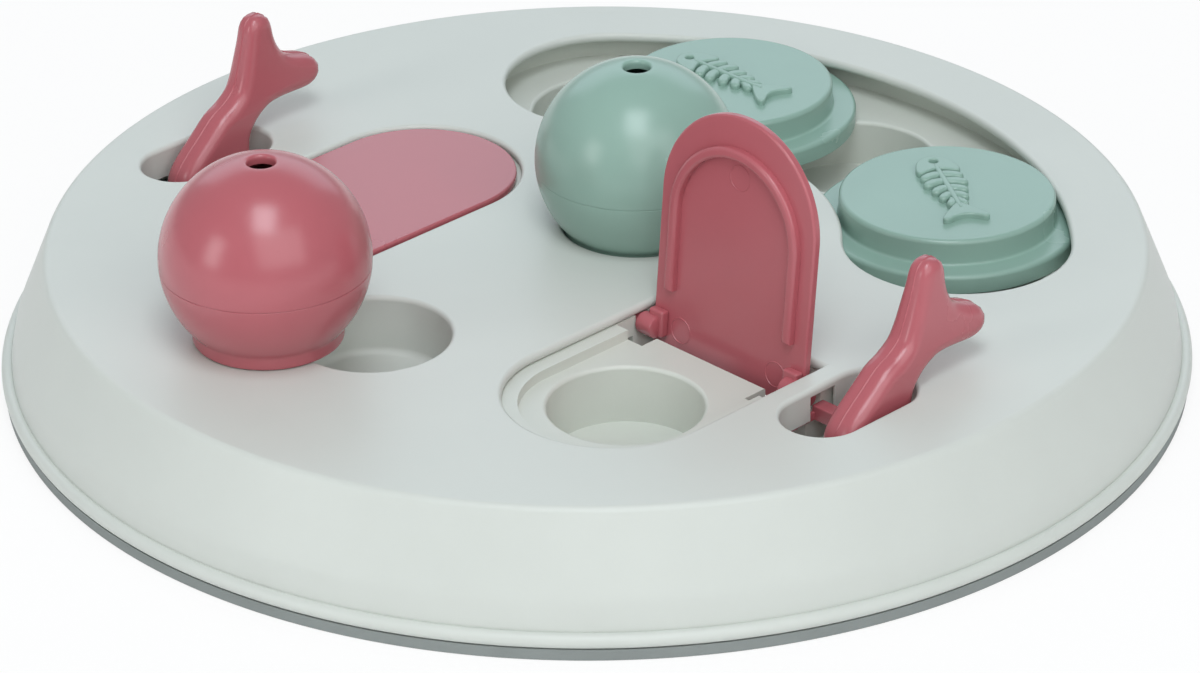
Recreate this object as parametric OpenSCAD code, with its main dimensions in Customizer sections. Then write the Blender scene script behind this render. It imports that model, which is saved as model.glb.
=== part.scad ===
// Round puzzle feeder board for cats. Treats go under two lids that press levers open,
// in a track with two sliding covers, and under two hollow balls that lift off.
// Origin: middle of the board on the table. +X points to the open lid's side, +Z up. Millimetres.

/* [Board] */
// Diameter over the bead round the foot
board_d = 231; // [229:0.5:236]
// Height of the top plate above the table
board_h = 26; // [25:0.5:29]
// Thickness of the top plate
plate_t = 2; // [1.9:0.1:2.2]
// Thickness of the skirt
skirt_t = 2.2; // [1.8:0.1:2.6]
// Height of the anti-slip ring
foot_h = 2.4; // [2:0.1:3]
// Radius of the soft edge between plate and skirt
edge_r = 1.6; // [1:0.1:2.4]

/* [Balls and pits] */
// Radius of a ball pit
pit_r = 14.7; // [14.5:0.1:15]
// Depth of a ball pit below the plate's top
pit_depth = 12; // [9:0.5:13]
// Radius of a ball
ball_r = 19.8; // [19.4:0.1:20.4]
// Wall of a ball
ball_wall = 1.8; // [1.5:0.1:2.2]
// Radius of the collar a ball stands on
collar_r = 14.2; // [13.6:0.1:14.3]
// Height of the collar below the sphere
collar_h = 3; // [2.4:0.1:4]
// Diameter of the vent hole in a ball's top
vent_d = 5.2; // [4:0.2:7]

/* [Sliding covers] */
// Radius of the grip disc
grip_r = 21.2; // [20.6:0.1:21.4]
// Height of the grip above its flange
grip_h = 5.1; // [4:0.1:7]
// Thickness of the flange under the cover
flange_t = 3.9; // [3.2:0.1:4.3]
// Height of the fishbone relief
relief_h = 1; // [0.6:0.1:1.4]
// Where the right cover stands in the track, in degrees
right_angle = 55.3; // [44:0.5:60]
// Where the left cover stands in the track, in degrees
left_angle = 112.5; // [108:0.5:130]
// Radius of a treat well
well_r = 16.4; // [15:0.2:17]
// Depth of a treat well below the track's deck
well_depth = 9.5; // [7:0.5:10]

/* [Lids] */
// Half the width of a lid
lid_half = 19.4; // [19:0.1:19.6]
// Thickness of a lid
lid_t = 1.9; // [1.6:0.1:2.1]
// Opening angle of the raised lid
lid_open = 95.2; // [88:0.4:98]
// Height of the stiffening rib under a lid
rib_h = 1.4; // [0.8:0.1:1.6]
// Radius of the well under a lid
cup_r = 14.5; // [13:0.1:15]

/* [Levers] */
// Thickness of a lever
lever_t = 8.4; // [7.4:0.2:8.6]
// How much more upright the unpressed lever stands than the pressed one, in degrees
lever_rise = 3.4; // [2:0.2:4.4]
// Diameter of a lever's steel axle
axle_d = 3; // [2.4:0.1:3.4]

/* [Fits] */
// Radial clearance of pins that turn
run_fit = 0.06; // [0.03:0.01:0.09]
// Gap under pieces that slide or stand on another
seat_gap = 0.1; // [0.08:0.02:0.2]
// Gap between a ball and the rim of its pit
rim_gap = 0.3; // [0.2:0.05:0.5]

/* [Hidden] */
$fn = 96;
shell_grey = [0.82, 0.84, 0.84];
tray_grey = [0.78, 0.79, 0.77];
foot_grey = [0.52, 0.55, 0.54];
rose = [0.72, 0.33, 0.38];
sage = [0.53, 0.68, 0.62];
steel = [0.7, 0.71, 0.73];

// Board levels and radii
z_under = board_h - plate_t;
plate_r = board_d / 2 - 9.4;
band_r = board_d / 2 - 2.9;
band_h = foot_h + 7.8;
foot_r = board_d / 2 - 1.8;
bead_r = 1.4;
cone_a = atan2(board_h - band_h, band_r - plate_r);
edge_c = [plate_r - edge_r * tan(cone_a / 2), board_h - edge_r];
cup_wall = 1.8;
pit_floor = board_h - pit_depth;
empty_pit = [0, -58];
ball_pit = [2.5, 9];

// Track of the sliding covers
track_half = 21.95;
track_land = 14.6;
track_r = plate_r - track_land - track_half;
track_start = 41.9;
track_end = 132.7;
track_mid = (track_start + track_end) / 2;
flange_r = grip_r + 4.8;
trough_half = track_half + 4.65;
deck_z = board_h - 7;
tray_t = 2;
slider_z = deck_z + seat_gap;

// Screws
ear_z = deck_z - tray_t;
ear_t = 2;
ear_r = 3.6;
ear_root = 4.2;
boss_r = 3.2;
screw_r = 1.3;
screw_l = 7.4;
head_r = 2.6;
head_h = 1.8;
tray_out = trough_half + tray_t;
track_ears = [
    [polar(track_r, 65), 65],
    [polar(track_r, 110), 110],
    [polar(track_r, track_start), track_start - 90],
    [polar(track_r, track_end), track_end + 90]];

// Lid units: hinge line in the middle of the unit, the lid's tip towards the unit's own -Y
right_unit = [47.8, -14.56];
left_unit = [-44.3, -33.4];
hinge_rise = 1.7;
hinge_z = z_under - hinge_rise;
lid_arc = -27.84;
open_half = 20.4;
lid_tail = 4.7;
open_back = 6.2;
lid_deck = board_h - 4;
lid_deck_back = -2.44;
unit_half = open_half + 3.5;
unit_back = open_back + 2.4;
lid_ear = unit_half + ear_r;
lid_ears = [[lid_ear, lid_arc - 2.56], [-lid_ear, lid_arc - 2.56], [-lid_ear, 2.5]];
unit_low = lid_deck - tray_t;
cup_y = -24.74;
cup_floor = board_h - 15.6;
pin_r = 1.6;
barrel_r = 2.1;
lug_in = 15.5;
lug_h = 2;
lug_front = 5.5;

// Lever units: middle of the slot, the lever standing off towards the board's rim
right_slot = [80.9, -15.4];
left_slot = [-80.5, -29.7];
slot_r = 7.75;
slot_l = 29;
slot_arc = slot_l / 2 - slot_r;
lever_off = 2;
pivot = [8, board_h - 8];
hub_r = 4.6;
cheek_in = lever_t / 2 + 0.4;
cheek_t = 2.2;
cheek_w = 3.8;
strap_z = pivot[1] - 8.8;
axle_l = 2 * (cheek_in + cheek_t) - 0.4;
bar_s = 3;
bar_at = [1.6, pivot[1] + 2.3];

// Balls
collar_low = sqrt(ball_r * ball_r - pow(collar_r + 0.4, 2));
foot_drop = collar_low + collar_h;
rose_at = [-13.1, -72.2, board_h + seat_gap + foot_drop];
green_at = [ball_pit[0], ball_pit[1], board_h + sqrt(ball_r * ball_r - pit_r * pit_r) + rim_gap];

// Helpers

// Box between two x values given in either order
module slab(x0, x1, y0, y1, z0, z1) {
    translate([min(x0, x1), y0, z0])
        cube([abs(x1 - x0), y1 - y0, z1 - z0]);
}

// Round-ended flap outline, straight at its back
module flap(half, arc, back) {
    translate([-half, arc])
        square([2 * half, back - arc]);
    translate([0, arc])
        circle(half);
}

// Point at a radius and an angle
function polar(r, a) = r * [cos(a), sin(a)];

// Arc-shaped track outline with round ends
module track(half) {
    sweep = track_end - track_start;
    polygon([
        for (i = [0:40]) polar(track_r + half, track_start + sweep * i / 40),
        for (i = [1:23]) polar(track_r, track_end) + polar(half, track_end + 7.5 * i),
        for (i = [0:40]) polar(track_r - half, track_end - sweep * i / 40),
        for (i = [1:23]) polar(track_r, track_start) - polar(half, track_start + 7.5 * i)]);
}

// Flat bar between two round ends
module limb(p, rp, q, rq) {
    hull() {
        translate(p)
            circle(rp);
        translate(q)
            circle(rq);
    }
}

// Stadium outline of a lever slot
module slot() {
    translate([-slot_r, -slot_arc])
        square([2 * slot_r, 2 * slot_arc]);
    for (s = [-1, 1])
        translate([0, s * slot_arc])
            circle(slot_r);
}

// Puts a lid unit in its place
module at_right_unit() {
    translate([right_unit[0], right_unit[1], 0])
        children();
}

module at_left_unit() {
    translate([left_unit[0], left_unit[1], 0])
        rotate([0, 0, 180])
            children();
}

module at_right_slot() {
    translate([right_slot[0], right_slot[1], 0])
        children();
}

module at_left_slot() {
    translate([left_slot[0], left_slot[1], 0])
        children();
}

// Middle of the track beside each screw ear, x pointing at the ear
module at_track_ears() {
    for (e = track_ears)
        translate([e[0][0], e[0][1], 0])
            rotate([0, 0, e[1]])
                children();
}

// Every screw place, seen from the board
module at_screws() {
    at_track_ears()
        translate([tray_out + ear_r, 0, 0])
            children();
    for (p = lid_ears) {
        at_right_unit()
            translate([p[0], p[1], 0])
                children();
        at_left_unit()
            translate([p[0], p[1], 0])
                children();
    }
}

// Cover, foot and trays

module top_cover() {
    color(shell_grey)
    difference() {
        union() {
            rotate_extrude()
                polygon([
                    [foot_r, foot_h],
                    [foot_r, foot_h + 2 * bead_r],
                    [band_r, band_h],
                    for (i = [0:5]) edge_c + edge_r * [cos(90 - cone_a * (5 - i) / 5), sin(90 - cone_a * (5 - i) / 5)],
                    [0, board_h],
                    [0, z_under],
                    [plate_r - skirt_t, z_under],
                    [band_r - skirt_t, band_h],
                    [foot_r - skirt_t, foot_h]]);
            rotate_extrude()
                translate([board_d / 2 - bead_r, foot_h + bead_r])
                    circle(bead_r);
            for (p = [empty_pit, ball_pit])
                translate([p[0], p[1], pit_floor - cup_wall])
                    cylinder(r = pit_r + cup_wall, h = pit_depth);
            at_screws()
                translate([0, 0, ear_z])
                    cylinder(r = boss_r, h = board_h - 1 - ear_z);
        }
        for (p = [empty_pit, ball_pit])
            translate([p[0], p[1], pit_floor])
                cylinder(r = pit_r, h = pit_depth + 1);
        at_screws()
            translate([0, 0, ear_z - 1])
                cylinder(r = screw_r, h = screw_l - ear_t + 1.6);
        translate([0, 0, z_under - 1])
            linear_extrude(plate_t + 2)
                track(track_half);
        at_right_unit()
            translate([0, 0, z_under - 1])
                linear_extrude(plate_t + 2)
                    flap(open_half, lid_arc, open_back);
        at_left_unit()
            translate([0, 0, z_under - 1])
                linear_extrude(plate_t + 2)
                    flap(open_half, lid_arc, open_back);
        at_right_slot()
            translate([0, 0, z_under - 1])
                linear_extrude(plate_t + 2)
                    slot();
        at_left_slot()
            translate([0, 0, z_under - 1])
                linear_extrude(plate_t + 2)
                    slot();
    }
}

module anti_slip_ring() {
    lip_r = foot_r - skirt_t - 0.05;
    color(foot_grey)
    rotate_extrude()
        polygon([
            [lip_r - 3, 0],
            [board_d / 2 - 0.9, 0],
            [board_d / 2 - 0.5, 0.4],
            [board_d / 2 - 0.5, foot_h],
            [lip_r, foot_h],
            [lip_r - 0.5, foot_h + 3],
            [lip_r - 2.2, foot_h + 3],
            [lip_r - 3, foot_h]]);
}

module channel_tray() {
    color(tray_grey)
    difference() {
        union() {
            translate([0, 0, ear_z])
                linear_extrude(z_under - ear_z)
                    track(trough_half + tray_t);
            for (a = [track_start, track_mid, track_end])
                rotate([0, 0, a])
                    translate([track_r, 0, deck_z - well_depth - cup_wall])
                        cylinder(r = well_r + cup_wall, h = well_depth);
            at_track_ears() {
                slab(tray_out - ear_root, tray_out + ear_r, -ear_r, ear_r, ear_z - ear_t, ear_z);
                slab(tray_out - ear_root, tray_out - 1.2, -ear_r, ear_r, ear_z - ear_t, ear_z + 1);
                translate([tray_out + ear_r, 0, ear_z - ear_t])
                    cylinder(r = ear_r, h = ear_t);
            }
        }
        translate([0, 0, deck_z])
            linear_extrude(board_h)
                track(trough_half);
        for (a = [track_start, track_mid, track_end])
            rotate([0, 0, a])
                translate([track_r, 0, deck_z - well_depth])
                    cylinder(r = well_r, h = well_depth + 1);
        at_track_ears()
            translate([tray_out + ear_r, 0, ear_z - ear_t - 1])
                cylinder(r = screw_r + run_fit, h = ear_t + 2);
    }
}

// Seat, deck, well, pin cradles and screw ears of one lid
module lid_tray() {
    difference() {
        union() {
            translate([0, 0, unit_low])
                linear_extrude(z_under - unit_low)
                    flap(unit_half, lid_arc, unit_back);
            for (s = [-1, 1])
                slab(s * (open_half + 0.2), s * unit_half, lid_deck_back, unit_back, unit_low - 6, z_under);
            slab(-unit_half, unit_half, open_back + 0.4, unit_back, unit_low - 6, z_under);
            translate([0, cup_y, cup_floor - cup_wall])
                cylinder(r = cup_r + cup_wall, h = lid_deck - cup_floor);
            for (p = lid_ears) {
                translate([p[0], p[1], ear_z - ear_t])
                    cylinder(r = ear_r, h = ear_t);
                slab(p[0], sign(p[0]) * (unit_half - 2.4), p[1] - ear_r, p[1] + ear_r, ear_z - ear_t, ear_z);
                slab(sign(p[0]) * (unit_half - 0.4), sign(p[0]) * (unit_half - 2.4), p[1] - ear_r, p[1] + ear_r,
                    ear_z - ear_t, unit_low + 1);
            }
        }
        translate([0, 0, lid_deck])
            linear_extrude(board_h)
                flap(open_half - 2.9, lid_arc, lid_deck_back);
        slab(-open_half - 0.2, open_half + 0.2, lid_deck_back, open_back + 0.4, 0, board_h);
        slab(-13.9, -open_half - 0.2, -6.74, lid_deck_back + 0.1, 0, board_h);
        slab(13.9, unit_half + 1, -7.9, lid_deck_back + 0.1, 0, board_h);
        translate([0, cup_y, cup_floor])
            cylinder(r = cup_r, h = board_h);
        translate([-unit_half - 1, 0, hinge_z])
            rotate([0, 90, 0])
                cylinder(r = pin_r + run_fit, h = 2 * unit_half + 2);
        slab(-unit_half - 1, unit_half + 1, -pin_r - run_fit, pin_r + run_fit, hinge_z, board_h);
        for (p = lid_ears)
            translate([p[0], p[1], ear_z - ear_t - 1])
                cylinder(r = screw_r + run_fit, h = ear_t + 2);
    }
}

// Two bearing cheeks for a lever, on a strap that reaches to the tray's wall at x = wall
module bracket(side, wall) {
    difference() {
        union() {
            for (s = [-1, 1])
                slab(side * lever_off + s * cheek_in, side * lever_off + s * (cheek_in + cheek_t),
                    pivot[0] - cheek_w, pivot[0] + cheek_w, strap_z, pivot[1] + cheek_w);
            slab(wall, side * (lever_off + cheek_in + cheek_t),
                pivot[0] - cheek_w, pivot[0] + cheek_w, strap_z, strap_z + 2);
            slab(wall, wall + side * 2.8, pivot[0] - cheek_w, pivot[0] + cheek_w, strap_z, unit_low + 1);
        }
        translate([side * lever_off - axle_l, pivot[0], pivot[1]])
            rotate([0, 90, 0])
                cylinder(d = axle_d + 0.04, h = 2 * axle_l);
    }
}

module lid_tray_right() {
    color(tray_grey)
    union() {
        at_right_unit()
            lid_tray();
        at_right_slot()
            bracket(1, right_unit[0] + unit_half - 2.8 - right_slot[0]);
    }
}

module lid_tray_left() {
    color(tray_grey)
    union() {
        at_left_unit()
            lid_tray();
        at_left_slot()
            bracket(-1, left_unit[0] - unit_half + 2.8 - left_slot[0]);
    }
}

module tray_screws() {
    color(steel)
    at_screws()
        union() {
            translate([0, 0, ear_z - ear_t])
                cylinder(r = screw_r - 0.02, h = screw_l);
            translate([0, 0, ear_z - ear_t - head_h])
                cylinder(r = head_r, h = head_h);
        }
}

// Lids

// One lid, closed, on its own hinge line
module lid() {
    union() {
        translate([0, 0, hinge_rise])
            linear_extrude(lid_t)
                flap(lid_half, lid_arc, lid_tail);
        translate([0, 0, hinge_rise - rib_h])
            linear_extrude(rib_h + 0.2)
                difference() {
                    flap(lid_half - 3.2, -25, -8);
                    flap(lid_half - 5.3, -25, 0);
                }
        for (s = [-1, 1]) {
            slab(s * lug_in, s * lid_half, -lug_front, lug_h, hinge_rise - lug_h, hinge_rise + 0.2);
            translate([s * (lug_in + open_half + 1.1) / 2, 0, 0])
                rotate([0, 90, 0])
                    cylinder(r = barrel_r, h = open_half - lug_in - 1.5, center = true);
            translate([s * (lug_in + unit_half) / 2, 0, 0])
                rotate([0, 90, 0])
                    cylinder(r = pin_r, h = unit_half - lug_in - 1.6, center = true);
        }
    }
}

module lid_right() {
    color(rose)
    at_right_unit()
        translate([0, 0, hinge_z])
            rotate([-lid_open, 0, 0])
                lid();
}

module lid_left() {
    color(rose)
    at_left_unit()
        translate([0, 0, hinge_z])
            lid();
}

// Levers

// Fish-tail side view of a lever: y along the slot, z above the pivot
module lever_side() {
    body = [1.2, 10.3];
    foot = [-9.5, 2.5];
    tail = [9.5, 17.6];
    hull() {
        translate(foot)
            circle(4.6);
        translate(body)
            circle(5.3);
        circle(hub_r);
    }
    limb(body, 3.6, tail, 3.6);
    limb([8.5, 19.5], 5, [9.7, 31.1], 1.9);
    limb(tail, 5.4, [20.7, 15.5], 3.4);
}

// One lever with its bar; lift says how far along y the lifting finger stands from the bar
module lever(side, lift, reach, tilt) {
    translate([0, pivot[0], pivot[1]])
        rotate([tilt, 0, 0])
            translate([0, -pivot[0], -pivot[1]])
                difference() {
                    union() {
                        difference() {
                            translate([side * lever_off - lever_t / 2, pivot[0], pivot[1]])
                                rotate([90, 0, 90])
                                    linear_extrude(lever_t)
                                        lever_side();
                            difference() {
                                slab(-15, 15, slot_arc, 30, board_h - 3, board_h + 5.5);
                                translate([0, slot_arc, board_h - 4])
                                    cylinder(r = slot_r - 1.3, h = 5.01);
                                translate([0, slot_arc, board_h + 1])
                                    cylinder(r1 = slot_r - 1.3, r2 = slot_r + 3.8, h = 4.6);
                            }
                        }
                        translate([0, bar_at[0], bar_at[1]])
                            rotate([19, 0, 0])
                                slab(0, -side * (slot_r + 1), -bar_s / 2, bar_s / 2, -bar_s / 2, bar_s / 2);
                        slab(-side * (slot_r - 0.7), -side * (slot_r + 1.1), bar_at[0] + min(lift, 0) - 1.2,
                            bar_at[0] + 1.2, bar_at[1] - 1.5, bar_at[1] + 0.9);
                        slab(-side * (slot_r - 0.7), -side * reach, bar_at[0] + lift - 1.2,
                            bar_at[0] + lift + 1.2, bar_at[1] - 2.3, bar_at[1] + 0.7);
                    }
                    translate([side * lever_off - lever_t, pivot[0], pivot[1]])
                        rotate([0, 90, 0])
                            cylinder(r = axle_d / 2 + run_fit, h = 2 * lever_t);
                }
}

module lever_right() {
    color(rose)
    at_right_slot()
        lever(1, -6.1, 17.2, 0);
}

module lever_left() {
    color(rose)
    at_left_slot()
        lever(-1, 0, 20, lever_rise);
}

module lever_axle(side) {
    color(steel)
    translate([side * lever_off - axle_l / 2, pivot[0], pivot[1]])
        rotate([0, 90, 0])
            cylinder(d = axle_d, h = axle_l);
}

module lever_axle_right() {
    at_right_slot()
        lever_axle(1);
}

module lever_axle_left() {
    at_left_slot()
        lever_axle(-1);
}

// Sliding covers

// Flat fishbone, head towards -X
module fishbone() {
    difference() {
        intersection() {
            translate([-9.2, 0])
                circle(5.2);
            translate([-20, -6])
                square([11.2, 12]);
        }
        translate([-11.2, 1.2])
            circle(0.8);
    }
    translate([-10, -0.9])
        square([20, 1.8]);
    for (i = [0:4], s = [-1, 1])
        translate([-6.6 + 3.2 * i, 0])
            rotate(s * 58)
                translate([0, -0.65])
                    square([5.6 - 0.5 * i, 1.3]);
    polygon([[8.6, -0.9], [14.6, -5.2], [13, 0], [14.6, 5.2], [8.6, 0.9]]);
}

// One sliding cover standing in the track at an angle, its relief turned to face
module slider(angle, face) {
    top = flange_t + grip_h;
    translate([track_r * cos(angle), track_r * sin(angle), slider_z])
        rotate([0, 0, face])
            union() {
                rotate_extrude()
                    polygon([
                        [grip_r - 2, 0],
                        [flange_r - 0.4, 0],
                        [flange_r, 0.4],
                        [flange_r, flange_t - 0.8],
                        [flange_r - 0.25, flange_t - 0.25],
                        [flange_r - 0.8, flange_t],
                        [grip_r, flange_t],
                        [grip_r, top - 1],
                        [grip_r - 0.3, top - 0.3],
                        [grip_r - 1, top],
                        [0, top],
                        [0, top - 2],
                        [grip_r - 2, top - 2]]);
                translate([0, 0, top - 0.2])
                    linear_extrude(relief_h + 0.2)
                        fishbone();
            }
}

module slider_right() {
    color(sage)
    slider(right_angle, right_angle - 88);
}

module slider_left() {
    color(sage)
    slider(left_angle, left_angle - 113);
}

// Balls

// Upper half of a ball, open at its equator
module ball_dome() {
    difference() {
        sphere(ball_r);
        sphere(ball_r - ball_wall);
        slab(-30, 30, -30, 30, -40, 0);
        cylinder(d = vent_d, h = 2 * ball_r);
    }
}

// Lower half with its collar and the spigot that plugs into the dome
module ball_cup() {
    inner = ball_r - ball_wall;
    difference() {
        union() {
            sphere(ball_r);
            translate([0, 0, -foot_drop])
                cylinder(r = collar_r, h = foot_drop);
        }
        difference() {
            sphere(inner);
            translate([0, 0, -2.2])
                cylinder(r = inner, h = 2.2);
        }
        translate([0, 0, -2 * ball_r])
            cylinder(r = collar_r - ball_wall, h = 2 * ball_r);
        translate([0, 0, -3])
            cylinder(r = inner - 1.6, h = 4);
        slab(-30, 30, -30, 30, 0, 40);
    }
    difference() {
        translate([0, 0, -1])
            cylinder(r = inner - 0.4, h = 3.2);
        translate([0, 0, -2])
            cylinder(r = inner - 1.6, h = 6);
    }
}

module rose_ball_dome() {
    color(rose)
    translate(rose_at)
        ball_dome();
}

module rose_ball_cup() {
    color(rose)
    translate(rose_at)
        ball_cup();
}

module green_ball_dome() {
    color(sage)
    translate(green_at)
        ball_dome();
}

module green_ball_cup() {
    color(sage)
    translate(green_at)
        ball_cup();
}

top_cover();
anti_slip_ring();
channel_tray();
lid_tray_left();
lid_tray_right();
tray_screws();
lid_left();
lid_right();
lever_left();
lever_right();
lever_axle_left();
lever_axle_right();
slider_left();
slider_right();
rose_ball_dome();
rose_ball_cup();
green_ball_dome();
green_ball_cup();
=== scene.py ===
import math

import bpy
from mathutils import Matrix, Vector


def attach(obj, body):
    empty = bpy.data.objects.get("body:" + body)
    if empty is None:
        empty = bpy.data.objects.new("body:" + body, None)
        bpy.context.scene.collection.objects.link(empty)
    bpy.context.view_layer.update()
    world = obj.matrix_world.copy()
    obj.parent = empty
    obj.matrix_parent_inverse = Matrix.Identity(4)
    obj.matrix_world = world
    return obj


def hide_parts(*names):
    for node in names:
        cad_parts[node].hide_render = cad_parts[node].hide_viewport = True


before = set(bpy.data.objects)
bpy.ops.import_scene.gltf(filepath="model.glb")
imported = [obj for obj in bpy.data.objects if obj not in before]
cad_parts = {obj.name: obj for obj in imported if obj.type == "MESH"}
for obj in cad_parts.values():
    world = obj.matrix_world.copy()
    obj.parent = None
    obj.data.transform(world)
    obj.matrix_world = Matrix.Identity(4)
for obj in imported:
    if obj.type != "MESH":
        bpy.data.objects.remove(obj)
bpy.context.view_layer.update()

# Top cover: one injection-moulded shell of pale grey ABS with a satin, spark-eroded face.
# Plate, sloping skirt, band and bead are one wall, and two ball pits hang from the plate as cups.
# Every opening has a rounded lip, and each lever slot a collar. The trays are screwed to it from below.
mm = 0.001
board_h = 26
plate_r = 104.2
plate_t = 2
lip = 0.9
empty_pit = (0, -58)
ball_pit = (2.5, 9)
pit_r = 14.7
pit_floor = 14
cup_wall = 1.8
cup_round = 1.4
track_r = 69.55
track_start = 41.9
track_end = 132.7
track_half = 21.95
right_unit = (47.8, -14.56)
left_unit = (-44.3, -33.4)
open_half = 20.4
open_back = 6.2
lid_arc = -27.84
right_slot = (80.9, -15.4)
left_slot = (-80.5, -29.7)
slot_r = 7.75
slot_arc = 6.9


def only(obj):
    """Leaves obj as the one selected and active object."""
    bpy.ops.object.select_all(action="DESELECT")
    obj.select_set(True)
    bpy.context.view_layer.objects.active = obj


def pick(test):
    """Selects the active mesh's vertices whose place passes the test, and stays in edit mode."""
    bpy.ops.object.mode_set(mode="EDIT")
    bpy.ops.mesh.select_mode(type="VERT")
    bpy.ops.mesh.select_all(action="DESELECT")
    bpy.ops.object.mode_set(mode="OBJECT")
    for vertex in bpy.context.object.data.vertices:
        vertex.select = test(vertex.co / mm)
    bpy.ops.object.mode_set(mode="EDIT")


def swing(angle, axis, centre=(0, 0, 0)):
    """Turns what is selected in edit mode by degrees about an axis through centre, in millimetres.
    The operator itself counts the other way round, so the angle changes its sign."""
    bpy.ops.transform.rotate(
        value=-math.radians(angle), orient_axis=axis, center_override=Vector(centre) * mm)


def shift(piece, place):
    """Moves a piece's mesh by a step in millimetres."""
    only(piece)
    bpy.ops.object.mode_set(mode="EDIT")
    bpy.ops.mesh.select_all(action="SELECT")
    bpy.ops.transform.translate(value=Vector(place) * mm)
    bpy.ops.object.mode_set(mode="OBJECT")
    return piece


def block(name, size, middle):
    """A plain block, its size and its middle in millimetres."""
    bpy.ops.object.select_all(action="DESELECT")
    bpy.ops.mesh.primitive_cube_add(size=1)
    plain = bpy.context.object
    plain.name = plain.data.name = name
    bpy.ops.object.mode_set(mode="EDIT")
    bpy.ops.transform.resize(value=Vector(size) * mm, center_override=(0, 0, 0))
    bpy.ops.transform.translate(value=Vector(middle) * mm)
    bpy.ops.object.mode_set(mode="OBJECT")
    return plain


def wire(name, points, closed=False):
    """A line through points in millimetres, drawn by extruding one vertex from point to point."""
    bpy.ops.object.select_all(action="DESELECT")
    bpy.ops.mesh.primitive_plane_add(size=mm)
    line = bpy.context.object
    line.name = line.data.name = name
    bpy.ops.object.mode_set(mode="EDIT")
    bpy.ops.mesh.select_mode(type="VERT")
    bpy.ops.mesh.merge(type="CENTER")
    here = Vector(points[0]) * mm
    bpy.ops.transform.translate(value=here)
    for point in points[1:]:
        there = Vector(point) * mm
        bpy.ops.mesh.extrude_vertices_move(TRANSFORM_OT_translate={"value": there - here})
        here = there
    if closed:
        bpy.ops.mesh.select_all(action="SELECT")
        bpy.ops.mesh.edge_face_add()
        bpy.ops.mesh.delete(type="ONLY_FACE")
    bpy.ops.object.mode_set(mode="OBJECT")
    return line


def lathe(name, outline, steps=128, centre=(0, 0)):
    """Spins an outline of (radius, height) pairs once round the upright line through centre."""
    x, y = centre
    turned = wire(name, [(x + r, y, z) for r, z in outline])
    bpy.ops.object.mode_set(mode="EDIT")
    bpy.ops.mesh.select_all(action="SELECT")
    bpy.ops.mesh.spin(steps=steps, angle=2 * math.pi, center=(x * mm, y * mm, 0), axis=(0, 0, 1))
    bpy.ops.mesh.select_all(action="SELECT")
    bpy.ops.mesh.remove_doubles(threshold=1e-6)
    bpy.ops.mesh.normals_make_consistent(inside=False)
    bpy.ops.object.mode_set(mode="OBJECT")
    return turned


def arc(cx, cz, r, start, end, steps):
    """Points on an arc in an outline, from one angle to the other in degrees."""
    angles = [math.radians(start + (end - start) * i / steps) for i in range(steps + 1)]
    return [(cx + r * math.cos(a), cz + r * math.sin(a)) for a in angles]


def join(piece, *others):
    """Makes one mesh of several."""
    only(piece)
    for other in others:
        other.select_set(True)
    bpy.ops.object.join()


def round_slab(outline, thickness, edge, *openings):
    """Fills flat outlines into a slab round z = 0 whose edges, the openings' too, are full arcs.
    The arcs stand out from the outlines by their radius, edge."""
    join(outline, *openings)
    bpy.ops.object.convert(target="CURVE")
    shape = outline.data
    shape.dimensions = "2D"
    shape.fill_mode = "BOTH"
    shape.extrude = (thickness / 2 - edge) * mm
    shape.bevel_depth = edge * mm
    shape.bevel_resolution = 4
    bpy.ops.object.convert(target="MESH")
    bpy.ops.object.mode_set(mode="EDIT")
    bpy.ops.mesh.select_all(action="SELECT")
    bpy.ops.mesh.remove_doubles(threshold=1e-6)
    bpy.ops.mesh.normals_make_consistent(inside=False)
    bpy.ops.object.mode_set(mode="OBJECT")
    return outline


def ring_outline(name, r, centre, count=96, start=0.5):
    """A circle of edges, its first vertex that part of a step off the axis."""
    bpy.ops.object.select_all(action="DESELECT")
    bpy.ops.mesh.primitive_circle_add(vertices=count, radius=r * mm)
    ring = bpy.context.object
    ring.name = ring.data.name = name
    bpy.ops.object.mode_set(mode="EDIT")
    bpy.ops.mesh.select_all(action="SELECT")
    swing(360 * start / count, "Z")
    bpy.ops.transform.translate(value=(centre[0] * mm, centre[1] * mm, 0))
    bpy.ops.object.mode_set(mode="OBJECT")
    return ring


def slot_outline(name, r, half, centre):
    """A stadium: a circle whose two halves are pulled apart along Y."""
    stadium = ring_outline(name, r, centre, 64)
    for side in (-1, 1):
        pick(lambda p: side * (p.y - centre[1]) > 0)
        bpy.ops.transform.translate(value=(0, side * half * mm, 0))
    bpy.ops.object.mode_set(mode="OBJECT")
    return stadium


def flap_outline(name, half, back, at, turn):
    """A round-ended flap, its straight back on the far side: turn is 1, or -1 for half a turn."""
    middle = at[1] + turn * lid_arc
    flap = ring_outline(name, half, (at[0], middle))
    pick(lambda p: turn * (p.y - middle) > 0)
    bpy.ops.transform.resize(value=(1, 0, 1), center_override=(at[0] * mm, middle * mm, 0))
    bpy.ops.transform.translate(value=(0, turn * (back - lid_arc) * mm, 0))
    bpy.ops.object.mode_set(mode="OBJECT")
    return flap


def track_outline(name, half):
    """The arc track: a half circle, the same one turned to the other end, and an arc spun from each tip."""
    track = ring_outline(name, half, (track_r, 0), 64, 0)
    sweep = track_end - track_start
    pick(lambda p: p.y > 0.01)
    bpy.ops.mesh.delete(type="VERT")
    bpy.ops.mesh.select_all(action="SELECT")
    bpy.ops.mesh.duplicate()
    swing(180, "Z", (track_r, 0, 0))
    swing(sweep, "Z")
    pick(lambda p: abs(p.y) < 0.01 and p.x > 0)
    bpy.ops.mesh.spin(steps=64, angle=-math.radians(sweep), center=(0, 0, 0), axis=(0, 0, 1))
    bpy.ops.mesh.select_all(action="SELECT")
    bpy.ops.mesh.remove_doubles(threshold=1e-5)
    swing(track_start, "Z")
    bpy.ops.object.mode_set(mode="OBJECT")
    return track


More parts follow.
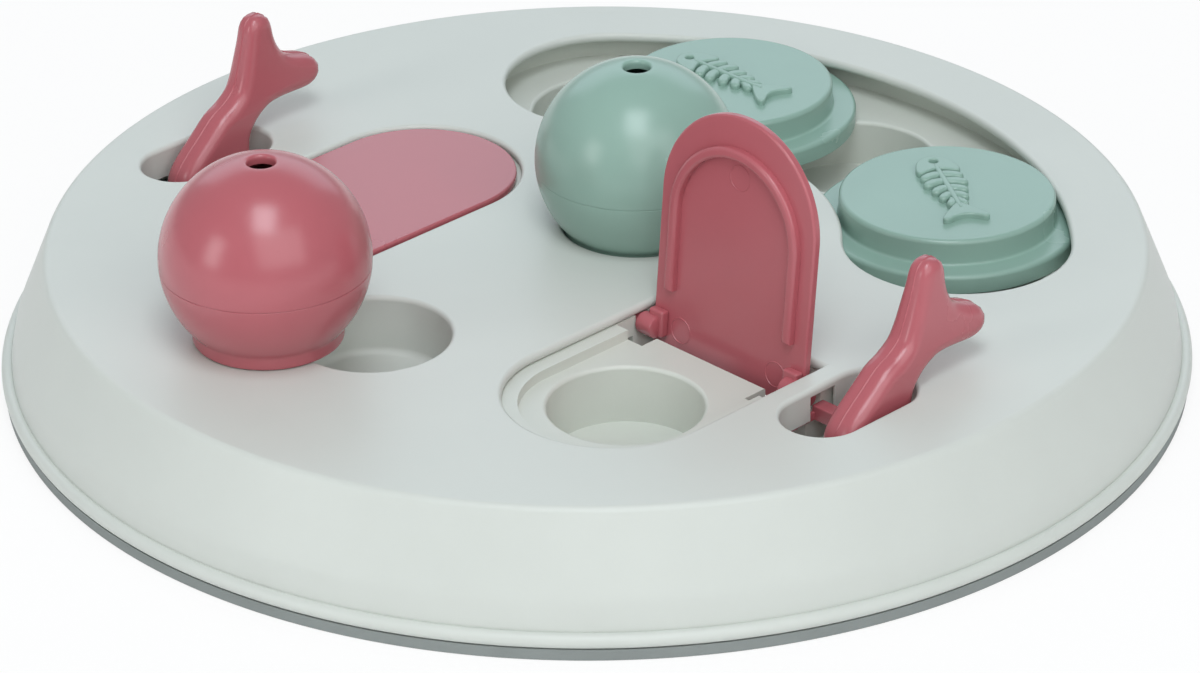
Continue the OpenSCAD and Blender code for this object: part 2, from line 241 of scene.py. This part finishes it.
def smooth(piece, angle=40):
    """Smooth shading that keeps flat faces flat."""
    only(piece)
    bpy.ops.object.shade_smooth_by_angle(angle=math.radians(angle))
    weights = piece.modifiers.new("even normals", "WEIGHTED_NORMAL")
    weights.keep_sharp = True
    bpy.ops.object.modifier_apply(modifier=weights.name)


def soften(piece, width, segments=3, angle=35):
    """Rounds every edge sharper than the angle, as a moulding tool's edges are."""
    only(piece)
    bevel = piece.modifiers.new("soft edges", "BEVEL")
    bevel.width = width * mm
    bevel.segments = segments
    bevel.limit_method = "ANGLE"
    bevel.angle_limit = math.radians(angle)
    bpy.ops.object.modifier_apply(modifier=bevel.name)
    smooth(piece)


def linear(red, green, blue):
    """A colour as it is seen on a screen, 0 to 255, as the shader's own numbers."""
    shares = (red / 255, green / 255, blue / 255)
    return [c / 12.92 if c < 0.0404 else ((c + 0.055) / 1.055) ** 2.4 for c in shares]


def plastic(name, colour, roughness, mottle=0.03, grain=0.06, grain_size=0.5, coat=0.0):
    """Moulded plastic: faint cloudiness in the colour, uneven gloss and a fine eroded grain."""
    made = bpy.data.materials.new(name)
    made.use_nodes = True
    nodes, links = made.node_tree.nodes, made.node_tree.links
    shader = nodes["Principled BSDF"]
    shader.inputs["IOR"].default_value = 1.5
    shader.inputs["Coat Weight"].default_value = coat
    shader.inputs["Coat Roughness"].default_value = 0.25
    place = nodes.new("ShaderNodeTexCoord")
    clouds = nodes.new("ShaderNodeTexNoise")
    clouds.inputs["Scale"].default_value = 55
    clouds.inputs["Detail"].default_value = 5
    links.new(place.outputs["Object"], clouds.inputs["Vector"])
    tint = nodes.new("ShaderNodeValToRGB")
    base = linear(*colour)
    tint.color_ramp.elements[0].position = 0.3
    tint.color_ramp.elements[0].color = [c * (1 - mottle) for c in base] + [1]
    tint.color_ramp.elements[1].position = 0.7
    tint.color_ramp.elements[1].color = [min(1, c * (1 + mottle)) for c in base] + [1]
    links.new(clouds.outputs["Fac"], tint.inputs["Fac"])
    links.new(tint.outputs["Color"], shader.inputs["Base Color"])
    gloss = nodes.new("ShaderNodeMapRange")
    gloss.inputs["To Min"].default_value = roughness - 0.04
    gloss.inputs["To Max"].default_value = roughness + 0.04
    links.new(clouds.outputs["Fac"], gloss.inputs["Value"])
    links.new(gloss.outputs["Result"], shader.inputs["Roughness"])
    sparks = nodes.new("ShaderNodeTexNoise")
    sparks.inputs["Scale"].default_value = 1000 / grain_size
    sparks.inputs["Detail"].default_value = 3
    links.new(place.outputs["Object"], sparks.inputs["Vector"])
    relief = nodes.new("ShaderNodeBump")
    relief.inputs["Strength"].default_value = grain
    relief.inputs["Distance"].default_value = 0.0002
    links.new(sparks.outputs["Fac"], relief.inputs["Height"])
    links.new(relief.outputs["Normal"], shader.inputs["Normal"])
    return made


def dress(piece, material, slot, body, *nodes):
    """Gives a finished piece its material and its place in the frame."""
    piece.data.materials.clear()
    piece.data.materials.append(material)
    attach(piece, body)
    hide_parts(*nodes)


cover = round_slab(
    ring_outline("cover_shell", plate_r - lip, (0, 0), 256), plate_t, lip,
    ring_outline("pit_1", pit_r + lip, empty_pit), ring_outline("pit_2", pit_r + lip, ball_pit),
    flap_outline("flap_1", open_half + lip, open_back + lip, right_unit, 1),
    flap_outline("flap_2", open_half + lip, open_back + lip, left_unit, -1),
    slot_outline("slot_1", slot_r + lip, slot_arc, right_slot),
    slot_outline("slot_2", slot_r + lip, slot_arc, left_slot),
    track_outline("track", track_half + lip))
shift(cover, (0, 0, board_h - plate_t / 2))
skirt = lathe("skirt", [
    (102.3, 26.004), *arc(105.03, 24.404, 1.6, 90, 22.4, 8),
    (112, 11.6), (112.35, 10.7), (112.55, 9.9), (112.72, 9),
    (113.45, 5.6), *arc(114.1, 3.8, 1.4, 118, -88, 12),
    (111.6, 2.4), (110.4, 10.2), (103.9, 23.996), (102.3, 23.996), (102.3, 26.004)], steps=256)
cup_line = [
    (pit_r, 25.02), (pit_r, pit_floor + cup_round),
    *arc(pit_r - cup_round, pit_floor + cup_round, cup_round, 0, -90, 5),
    (0, pit_floor), (0, pit_floor - cup_wall), (15.5, pit_floor - cup_wall),
    (pit_r + cup_wall, pit_floor - 0.8), (pit_r + cup_wall, 24.6), (pit_r, 25.02)]
cups = [lathe(f"pit_cup_{n}", cup_line, 96, pit) for n, pit in enumerate((empty_pit, ball_pit))]
collar_h, collar_mid, collar_edge, collar_wall = 5.5, 22.25, 0.1, 0.5
notch_size, notch_along, notch_z = (4, 6.6, 8.2), 1.6, 20.5
collars = []
for slot_at, sign in ((left_slot, -1), (right_slot, 1)):
    outside = slot_outline("collar", slot_r + collar_wall - collar_edge, slot_arc, slot_at)
    inside = slot_outline("hole", slot_r + collar_edge, slot_arc, slot_at)
    collar = shift(round_slab(outside, collar_h, collar_edge, inside), (0, 0, collar_mid))
    # The notch lets the lever's bar through to the lid.
    notch_at = (slot_at[0] - sign * slot_r, slot_at[1] + notch_along, notch_z)
    notch = block("notch", notch_size, notch_at)
    only(collar)
    cut = collar.modifiers.new("notch", "BOOLEAN")
    cut.operation = "DIFFERENCE"
    cut.solver = "EXACT"
    cut.object = notch
    bpy.ops.object.modifier_apply(modifier=cut.name)
    bpy.data.objects.remove(notch)
    collars.append(collar)
join(cover, skirt, *cups, *collars)
smooth(cover)
cover_plastic = plastic("cover_plastic", (206, 210, 204), 0.42, mottle=0.012, grain=0.05)
dress(cover, cover_plastic, "cover", "board", "top_cover")

# Anti-slip ring: a grey soft rubber ring pushed up into the skirt's foot.
# It shows as the dark line between the bead and the table.
ring = lathe("rubber_ring", [
    (108.45, 0), (114.5, 0), (114.85, 0.15), (115, 0.5), (115, 2.4), (111.45, 2.4),
    (110.95, 5.4), (109.25, 5.4), (108.45, 2.4), (108.45, 0)], steps=256)
smooth(ring)
rubber = plastic("foot_rubber", (138, 144, 142), 0.7, mottle=0.06, grain=0.15, grain_size=0.35)
dress(ring, rubber, "foot", "board", "anti_slip_ring")

# Trays: three mouldings of pale grey plastic, screwed up under the cover.
# The long one is the sliders' track with its three treat wells.
# Each of the other two has a lid's hinge cradles, its well and a lever's cheeks.
deck_z, well_r = 19, 16.4
lid_deck, lid_deck_back, cup_r, cup_y = 22, -2.44, 14.5, -24.74
rim_round, back_round, all_round = 0.8, 0.4, 0.5
level_gap, circle_gap, edge_gap = 0.02, 0.05, 0.03


def merged_copy(node, name):
    """A copy of a CAD piece, its vertices merged and its flat faces made whole."""
    piece = bpy.data.objects.new(name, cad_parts[node].data.copy())
    bpy.context.scene.collection.objects.link(piece)
    only(piece)
    bpy.ops.mesh.customdata_custom_splitnormals_clear()
    bpy.ops.object.mode_set(mode="EDIT")
    bpy.ops.mesh.select_all(action="SELECT")
    bpy.ops.mesh.remove_doubles(threshold=2e-6)
    bpy.ops.mesh.dissolve_limited(angle_limit=math.radians(0.3))
    bpy.ops.mesh.normals_make_consistent(inside=False)
    bpy.ops.object.mode_set(mode="OBJECT")
    return piece


def round_edge(piece, test, width):
    """Rounds the edges between the vertices that pass the test."""
    only(piece)
    pick(test)
    bpy.ops.mesh.select_mode(type="VERT")
    bpy.ops.mesh.bevel(offset=width * mm, segments=4, affect="EDGES", clamp_overlap=True)
    bpy.ops.object.mode_set(mode="OBJECT")


def on_circle(p, centre, r, z):
    """Whether a vertex lies on a level circle."""
    off = math.hypot(p.x - centre[0], p.y - centre[1]) - r
    return abs(p.z - z) < level_gap and abs(off) < circle_gap


def on_back_edge(p, at, turn):
    """Whether a vertex lies on the rear edge of a lid tray's deck."""
    off = turn * (p.y - at[1]) - lid_deck_back
    return abs(p.z - lid_deck) < level_gap and abs(off) < edge_gap


tray_plastic = plastic("tray_plastic", (207, 211, 203), 0.4, mottle=0.02, grain=0.06)
channel = merged_copy("channel_tray", "channel_moulding")
for angle in (track_start, (track_start + track_end) / 2, track_end):
    well = [track_r * f(math.radians(angle)) for f in (math.cos, math.sin)]
    round_edge(channel, lambda p: on_circle(p, well, well_r, deck_z), rim_round)
soften(channel, all_round)
dress(channel, tray_plastic, "tray", "board", "channel_tray")
for side, at, turn in (("left", left_unit, -1), ("right", right_unit, 1)):
    tray = merged_copy("lid_tray_" + side, f"lid_tray_{side}_moulding")
    round_edge(tray, lambda p: on_circle(p, (at[0], at[1] + turn * cup_y), cup_r, lid_deck), rim_round)
    round_edge(tray, lambda p: on_back_edge(p, at, turn), back_round)
    soften(tray, all_round)
    dress(tray, tray_plastic, "tray", "board", "lid_tray_" + side)

# Screws and axles: zinc-plated steel, under the cover. Ten screws hold the trays up to the cover's bosses,
# and a turned pin through the cheeks carries each lever. They keep their machined CAD shape.
steel = plastic("zinc_steel", (178, 181, 186), 0.32, mottle=0.08, grain=0.2, grain_size=0.2)
steel.node_tree.nodes["Principled BSDF"].inputs["Metallic"].default_value = 1
for node in ("tray_screws", "lever_axle_left", "lever_axle_right"):
    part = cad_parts[node]
    part.data.materials.clear()
    part.data.materials.append(steel)

# Lids: two flaps of glossy-satin rose plastic, each with a rounded stiffening rib below and two lugs.
# The lugs' hinge pins snap into cradles in the trays. Faint rings are left by the tool's ejector pins.
# The right lid stands open, the left one lies closed.
lid_half, lid_t, lid_tail, lid_edge = 19.4, 1.75, 4.7, 0.5
hinge_rise, lid_under, hinge_z, lid_open = 1.7, 1.85, 22.3, 95.2
rib_out, rib_in, rib_h, rib_edge, rib_mid, rib_end = 16.2, 14.1, 1.4, 0.7, -25, -8
lug_in, lug_front, lug_back, lug_h = 15.5, 3.4, 2, 1.7
lug_edge, lug_sunk = 0.5, 0.3
hinge_pin = [
    (0, 16.4), (1.8, 16.4), (2.1, 16.55), (2.2, 16.9), (2.2, 20), (2.05, 20.3), (1.6, 20.35),
    (1.6, 22.8), (1.35, 23.1), (0, 23.1)]
ejector_r, ejector_bead = 2.45, 0.11
ejectors = ((0, -35.5), (12.2, -0.4), (-12.2, -0.4))
rose_plastic = plastic("rose_plastic", (179, 95, 103), 0.26, mottle=0.02, grain=0.04, coat=0.2)


def turn_piece(piece, angle, axis, centre=(0, 0, 0)):
    """Turns a piece's mesh by degrees about an axis through centre, in millimetres."""
    only(piece)
    bpy.ops.object.mode_set(mode="EDIT")
    bpy.ops.mesh.select_all(action="SELECT")
    swing(angle, axis, centre)
    bpy.ops.object.mode_set(mode="OBJECT")
    return piece


def bar(name, corners, edge=0.25):
    """A bar between two corners in millimetres, its edges rounded."""
    low, high = (Vector(c) for c in corners)
    rounded = block(name, high - low, (low + high) / 2)
    soften(rounded, edge)
    return rounded


def bead(line, r):
    """A thin round bead along a closed line."""
    only(line)
    bpy.ops.object.convert(target="CURVE")
    line.data.bevel_depth = r * mm
    line.data.bevel_resolution = 1
    bpy.ops.object.convert(target="MESH")
    return line


for side, at, turn, opened in (("left", left_unit, 180, 0), ("right", right_unit, 0, -lid_open)):
    flap = flap_outline(f"lid_{side}_flap", lid_half - lid_edge, lid_tail - lid_edge, (0, 0), 1)
    lid = round_slab(flap, lid_t, lid_edge)
    smooth(shift(lid, (0, 0, lid_under + lid_t / 2)))
    outer, inner, end = rib_out - rib_edge, rib_in + rib_edge, rib_end - rib_edge
    rib_line = [
        (outer, end), *arc(0, rib_mid, outer, 0, -180, 32), (-outer, end),
        (-inner, end), *arc(0, rib_mid, inner, -180, 0, 32), (inner, end)]
    rib = round_slab(wire("rib", [(*p, 0) for p in rib_line], True), 2 * rib_h, rib_edge)
    smooth(shift(rib, (0, 0, hinge_rise)))
    parts = [rib]
    for s in (-1, 1):
        near, away = sorted((s * lug_in, s * (lid_half - lug_sunk)))
        foot = (near, -lug_front, hinge_rise - lug_h)
        head = (away, lug_back, hinge_rise + lug_sunk)
        parts.append(bar("lug", (foot, head), lug_edge))
        pin = turn_piece(lathe("pin", hinge_pin, 32), 90 * s, "Y")
        smooth(pin)
        parts.append(pin)
    for place in ejectors:
        mark = bead(ring_outline("ejector_ring", ejector_r, place, 48), ejector_bead)
        parts.append(shift(mark, (0, 0, lid_under)))
    join(lid, *parts)
    turn_piece(lid, opened, "X")
    turn_piece(lid, turn, "Z")
    shift(lid, (*at, hinge_z))
    dress(lid, rose_plastic, "rose_plastic", side + "_lid", "lid_" + side)

# Levers: two fish-tail paddles of the same rose plastic, thinner towards the tip, turning on steel axles.
# They are moulded in two-part tools, whose joint shows as a fine line along the narrow sides.
# A square bar at the foot reaches under the plate to the lid's lug.
lever_t = 7.6
tip_t = 5.2
bend_z = 31
lever_mid = 2.4
lever_edge = 2.5
part_line = 0.18
bar_s = 3
bar_at = (1.6, 20.3)
bar_past = 1.35
crank_t, crank_drop, crank_rise = 0.75, 1.5, 0.3
finger_half, finger_drop, finger_rise = 1.2, 2.3, 0.7
pivot = (8, 18)
paddle = [
    (-4, 17.2), (-3.9, 20.9), (-1.68, 23.65), (2.17, 26.75), (5.9, 29.75), (8.9, 31.2), (12.1, 33.6),
    (13.8, 36.6), (15.1, 40.1), (16.4, 43.9), (17.1, 46.5), (17.7, 47.1), (18.2, 46.6), (18.5, 44),
    (19.4, 40.9), (21.5, 37.7), (24.8, 35.7), (27.4, 34.7), (28.8, 33.8), (28.8, 33.2), (27.8, 32.8),
    (26, 32.8), (23.4, 33), (20, 33.1), (16.8, 32.7), (13.8, 31.2), (11.3, 29), (9.5, 25.8), (8.9, 20.2),
    (8.4, 16.6), (6.5, 15.3), (1.2, 15.5), (-2.4, 16)]


def flowing(points, steps=3):
    """Closed run of points on a smooth curve through the given ones."""
    run = []
    for i in range(len(points)):
        a, b, c, d = (Vector(points[(i + k) % len(points)]) for k in (-1, 0, 1, 2))
        for t in (k / steps for k in range(steps)):
            run.append(0.5 * (
                2 * b + (c - a) * t
                + (2 * a - 5 * b + 4 * c - d) * t ** 2 + (3 * b - a - 3 * c + d) * t ** 3))
    return run


def draft(piece):
    """Thins a slab drawn round z = 0 evenly along Y, from its bend to its tip."""
    only(piece)
    bpy.ops.object.mode_set(mode="EDIT")
    bpy.ops.mesh.select_all(action="SELECT")
    bpy.ops.mesh.bisect(plane_co=(0, bend_z * mm, 0), plane_no=(0, 1, 0))
    bpy.ops.object.mode_set(mode="OBJECT")
    shift(piece, (0, -bend_z, 0))
    low, high = piece.bound_box[0][1], piece.bound_box[6][1]
    taper = piece.modifiers.new("draft", "SIMPLE_DEFORM")
    taper.deform_method = "TAPER"
    taper.deform_axis = "Y"
    taper.lock_x = True
    taper.limits = (-low / (high - low), 1)
    taper.factor = tip_t / lever_t - 1
    bpy.ops.object.modifier_apply(modifier=taper.name)
    shift(piece, (0, bend_z, 0))


def part_ridge(piece):
    """A fine ridge where the two halves of the tool meet, round the slab's middle."""
    only(piece)
    bpy.ops.object.mode_set(mode="EDIT")
    bpy.ops.mesh.select_all(action="SELECT")
    bpy.ops.mesh.bisect(plane_co=(0, 0, 0), plane_no=(0, 0, 1))
    bpy.ops.mesh.bevel(offset=part_line * mm, segments=2, affect="EDGES")
    pick(lambda p: abs(p.z) < part_line / 2)
    bpy.ops.transform.shrink_fatten(value=part_line * mm)
    bpy.ops.object.mode_set(mode="OBJECT")


for side, sign, slot_at, rise, reach, back in (
        ("left", -1, left_slot, 3.4, 20, 0), ("right", 1, right_slot, 0, 17.2, -6.1)):
    x, y = slot_at
    lever = wire(f"lever_{side}_paddle", [(*p, 0) for p in flowing(paddle)], True)
    round_slab(lever, lever_t, lever_edge)
    draft(lever)
    part_ridge(lever)
    smooth(lever)
    turn_piece(lever, 90, "X")
    turn_piece(lever, 90, "Z")
    shift(lever, (x + lever_mid * sign, y, 0))
    root, far, tip = (x + s * sign for s in (lever_mid, -slot_r - bar_past, -reach))
    across, up, half = y + bar_at[0], bar_at[1], bar_s / 2
    low, high = sorted((root, far))
    stub = bar("stub", ((low, across - half, up - half), (high, across + half, up + half)))
    below, above = across + back - finger_half, across + back + finger_half
    low, high = sorted((far, far + crank_t * sign))
    crank = bar("crank", ((low, below, up - crank_drop), (high, across + finger_half, up + crank_rise)))
    low, high = sorted((tip, far))
    finger = bar("finger", ((low, below, up - finger_drop), (high, above, up + finger_rise)))
    join(lever, stub, crank, finger)
    turn_piece(lever, rise, "X", (0, y + pivot[0], pivot[1]))
    dress(lever, rose_plastic, "rose_plastic", side + "_lever", "lever_" + side)

# Sliding covers: two discs of glossy-satin sage plastic, hollow below. Their flange runs under the track's
# lip, and a raised fishbone on top, moulded with the disc, gives a paw something to push.
fish_low, fish_high, fish_edge, rib_round = 27.7, 29.3, 0.4, 0.65
fish_at = (0.2, 0.3, 0)
fish_head = [
    (-13.9, 0), (-13.3, 1.7), (-11.9, 3), (-9.9, 3.7), (-8.2, 4), (-7.6, 3.6), (-8.2, 2.4), (-8.8, 1.2),
    (-9, 0), (-8.8, -1.2), (-8.2, -2.4), (-7.6, -3.6), (-8.2, -4), (-9.9, -3.7), (-11.9, -3), (-13.3, -1.7)]
fish_eye, eye_r = (-11.8, 0), 0.85
fish_tail = [
    (6.9, 0.3), (8.5, 1.6), (10.3, 3), (12.1, 4.1), (12.8, 4.2), (12.8, 3.6), (11.8, 2), (11.3, 0),
    (11.8, -2), (12.8, -3.6), (12.8, -4.2), (12.1, -4.1), (10.3, -3), (8.5, -1.6), (6.9, -0.3)]
fish_spine = [(-9.2, -0.1), (-1, -0.2), (7.6, -0.1), (7.6, 0.1), (-1, 0.2), (-9.2, 0.1)]
spine_lift = 0.12
rib_root = 0.7
fish_ribs = [(-6.65, 3.7), (-3.7, 3.85), (-0.6, 3.05), (2.3, 2.35), (5.1, 1.5)]
sage_plastic = plastic("sage_plastic", (144, 175, 163), 0.26, mottle=0.02, grain=0.04)


def bone(name, outline, height=fish_high, edge=fish_edge, *holes):
    """One raised, round-edged part of the fishbone."""
    raised = wire(name, [(*p, 0) for p in flowing(outline)], True)
    round_slab(raised, 2 * (height - fish_low), edge, *holes)
    smooth(shift(raised, (0, 0, fish_low)))
    return raised


disc = [
    (19.2, 19.1), (25.6, 19.1), (25.9, 19.2), (26, 19.5), (26, 22.1), (25.85, 22.6), (25.5, 22.9),
    (25, 23), (21.9, 23), (21.55, 23.08), (21.35, 23.3), (21.28, 23.7), (21.15, 27.2),
    *arc(20.25, 27.2, 0.9, 8, 90, 5), (12, 28.1), (0, 28.1), (0, 26.1), (19.2, 26.1), (19.2, 19.1)]
for side, angle, face in (("left", 112.5, -0.5), ("right", 55.3, -32.7)):
    slider = lathe(f"slider_{side}_disc", disc)
    smooth(slider)
    eye = ring_outline("eye", eye_r + fish_edge, fish_eye, 32)
    fish = bone("head", fish_head, fish_high, fish_edge, eye)
    parts = [bone("tail", fish_tail), bone("spine", fish_spine, fish_high + spine_lift)]
    for s in (-1, 1):
        for along, out in fish_ribs:
            rib = [
                (along - 0.35, s * rib_root), (along - 0.15, s * out * 0.55), (along + 0.5, s * out * 0.88),
                (along + 1.2, s * out), (along + 1.5, s * out * 0.88), (along + 0.75, s * out * 0.5),
                (along + 0.45, s * rib_root)]
            parts.append(bone("rib", rib, fish_high, rib_round))
    join(fish, *parts)
    shift(fish, fish_at)
    turn_piece(fish, face, "Z")
    join(slider, fish)
    shift(slider, Matrix.Rotation(math.radians(angle), 3, "Z") @ Vector((track_r, 0, 0)))
    dress(slider, sage_plastic, "sage_plastic", side + "_slider", "slider_" + side)

# Balls: one hollow ball of the rose plastic and one of the sage. Each is snapped together from a dome with a
# vent hole and a cup with a standing collar, and the joint is a fine groove just below the middle.
# The rose ball stands on the plate, the sage one in its pit.
ball_r, ball_in = 19.8, 18
seam = -1.5
dome = [
    (19.67, seam), (19.74, seam + 0.07), *arc(0, 0, ball_r, -3.6, 80.2, 36), (3.05, 19.5), (2.78, 19.36),
    (2.62, 19.05), (2.6, 18.6), (2.6, 17.81), *arc(0, 0, ball_in, 81.6, -4.7, 18), (19.67, seam)]
cup = [
    (19.67, seam - 0.02), (19.74, seam - 0.1), *arc(0, 0, ball_r, -5, -41.4, 18), (14.62, -13.35),
    (14.36, -13.7), (14.24, -14.1), (14.2, -15.8), (14.1, -16.15), (13.8, -16.37), (12.8, -16.37),
    (12.5, -16.2), (12.4, -15.8), (12.4, -13.05), *arc(0, 0, ball_in, -46.4, -5.2, 10), (19.67, seam - 0.02)]
rose_at, green_at = (-13.1, -72.2, 42.47), (*ball_pit, 39.56)
for colour, slot, material, at in (
        ("rose", "rose_plastic", rose_plastic, rose_at), ("green", "sage_plastic", sage_plastic, green_at)):
    for half, outline in (("dome", dome), ("cup", cup)):
        ball = lathe(f"{colour}_{half}", [(r, z + at[2]) for r, z in outline], centre=at[:2])
        smooth(ball, angle=50)
        dress(ball, material, slot, colour + "_ball", f"{colour}_ball_{half}")

# Floor, light and camera: a white paper table under four soft studio lamps and an even room.
# The paper glows for the camera and for mirrored rays, so it stays white and keeps the board's shadow.
paper_glow = 0.85
camera_at = (0.6193, -0.6022, 0.4646)
camera_turn, camera_tilt, camera_roll = 45.76, 61.89, -0.6
bpy.ops.object.select_all(action="DESELECT")
bpy.ops.mesh.primitive_plane_add(size=12)
floor = bpy.context.object
floor.name = "floor"
paper = bpy.data.materials.new("white_paper")
paper.use_nodes = True
paper_nodes, paper_links = paper.node_tree.nodes, paper.node_tree.links
paper_shader = paper_nodes["Principled BSDF"]
paper_shader.inputs["Roughness"].default_value = 0.9
paper_shader.inputs["Specular IOR Level"].default_value = 0.1
fibres = paper_nodes.new("ShaderNodeTexNoise")
fibres.inputs["Scale"].default_value = 40
fibre_place = paper_nodes.new("ShaderNodeTexCoord")
fibre_tint = paper_nodes.new("ShaderNodeValToRGB")
fibre_tint.color_ramp.elements[0].color = (0.93, 0.93, 0.93, 1)
fibre_tint.color_ramp.elements[1].color = (0.96, 0.96, 0.96, 1)
paper_links.new(fibre_place.outputs["Object"], fibres.inputs["Vector"])
paper_links.new(fibres.outputs["Fac"], fibre_tint.inputs["Fac"])
paper_links.new(fibre_tint.outputs["Color"], paper_shader.inputs["Base Color"])
seen = paper_nodes.new("ShaderNodeLightPath")
mirrored = paper_nodes.new("ShaderNodeMath")
mirrored.operation = "MAXIMUM"
either = paper_nodes.new("ShaderNodeMath")
either.operation = "MAXIMUM"
bright = paper_nodes.new("ShaderNodeMapRange")
bright.inputs["To Max"].default_value = paper_glow
glow = paper_nodes.new("ShaderNodeEmission")
lit = paper_nodes.new("ShaderNodeMixShader")
paper_links.new(seen.outputs["Is Glossy Ray"], mirrored.inputs[0])
paper_links.new(seen.outputs["Is Transmission Ray"], mirrored.inputs[1])
paper_links.new(seen.outputs["Is Camera Ray"], either.inputs[0])
paper_links.new(mirrored.outputs["Value"], either.inputs[1])
paper_links.new(either.outputs["Value"], bright.inputs["Value"])
paper_links.new(bright.outputs["Result"], lit.inputs["Fac"])
paper_links.new(paper_shader.outputs["BSDF"], lit.inputs[1])
paper_links.new(glow.outputs["Emission"], lit.inputs[2])
paper_links.new(lit.outputs["Shader"], paper_nodes["Material Output"].inputs["Surface"])
floor.data.materials.append(paper)

world = bpy.data.worlds.new("studio")
bpy.context.scene.world = world
world.use_nodes = True
room = world.node_tree.nodes["Background"]
room.inputs["Color"].default_value = (0.97, 0.99, 1, 1)
room.inputs["Strength"].default_value = 0.35


def softbox(name, power, width, height, place, colour=(1, 1, 1), aim=(0, 0, 0.02)):
    """A large soft lamp that looks at the object."""
    bpy.ops.object.select_all(action="DESELECT")
    bpy.ops.object.light_add(type="AREA", location=place)
    lamp = bpy.context.object
    lamp.name = lamp.data.name = name
    lamp.data.shape = "RECTANGLE"
    lamp.data.size = width
    lamp.data.size_y = height
    lamp.data.energy = power
    lamp.data.color = colour
    lamp.rotation_euler = (Vector(aim) - Vector(place)).to_track_quat("-Z", "Y").to_euler()


softbox("key_left", 2.7, 0.4, 0.65, (-0.262, -1.28, 0.5))
softbox("key_right", 6.8, 1.3, 1, (1.05, -0.45, 0.8))
softbox("overhead", 5.4, 0.45, 0.6, (0.33, -0.34, 1.09), (0.88, 0.95, 1))
softbox("back_wall", 7.5, 2.2, 0.9, (-0.95, 0.92, 0.75), (0.76, 0.89, 1))

camera_data = bpy.data.cameras.new("camera")
camera_data.lens = 150.6
camera_data.sensor_width = 36
camera = bpy.data.objects.new("camera", camera_data)
bpy.context.scene.collection.objects.link(camera)
facing = Matrix.Rotation(math.radians(camera_turn), 4, "Z")
facing = facing @ Matrix.Rotation(math.radians(camera_tilt), 4, "X")
facing = facing @ Matrix.Rotation(math.radians(camera_roll), 4, "Z")
camera.matrix_world = Matrix.Translation(camera_at) @ facing
bpy.context.scene.camera = camera
bpy.context.scene.view_settings.view_transform = "Standard"
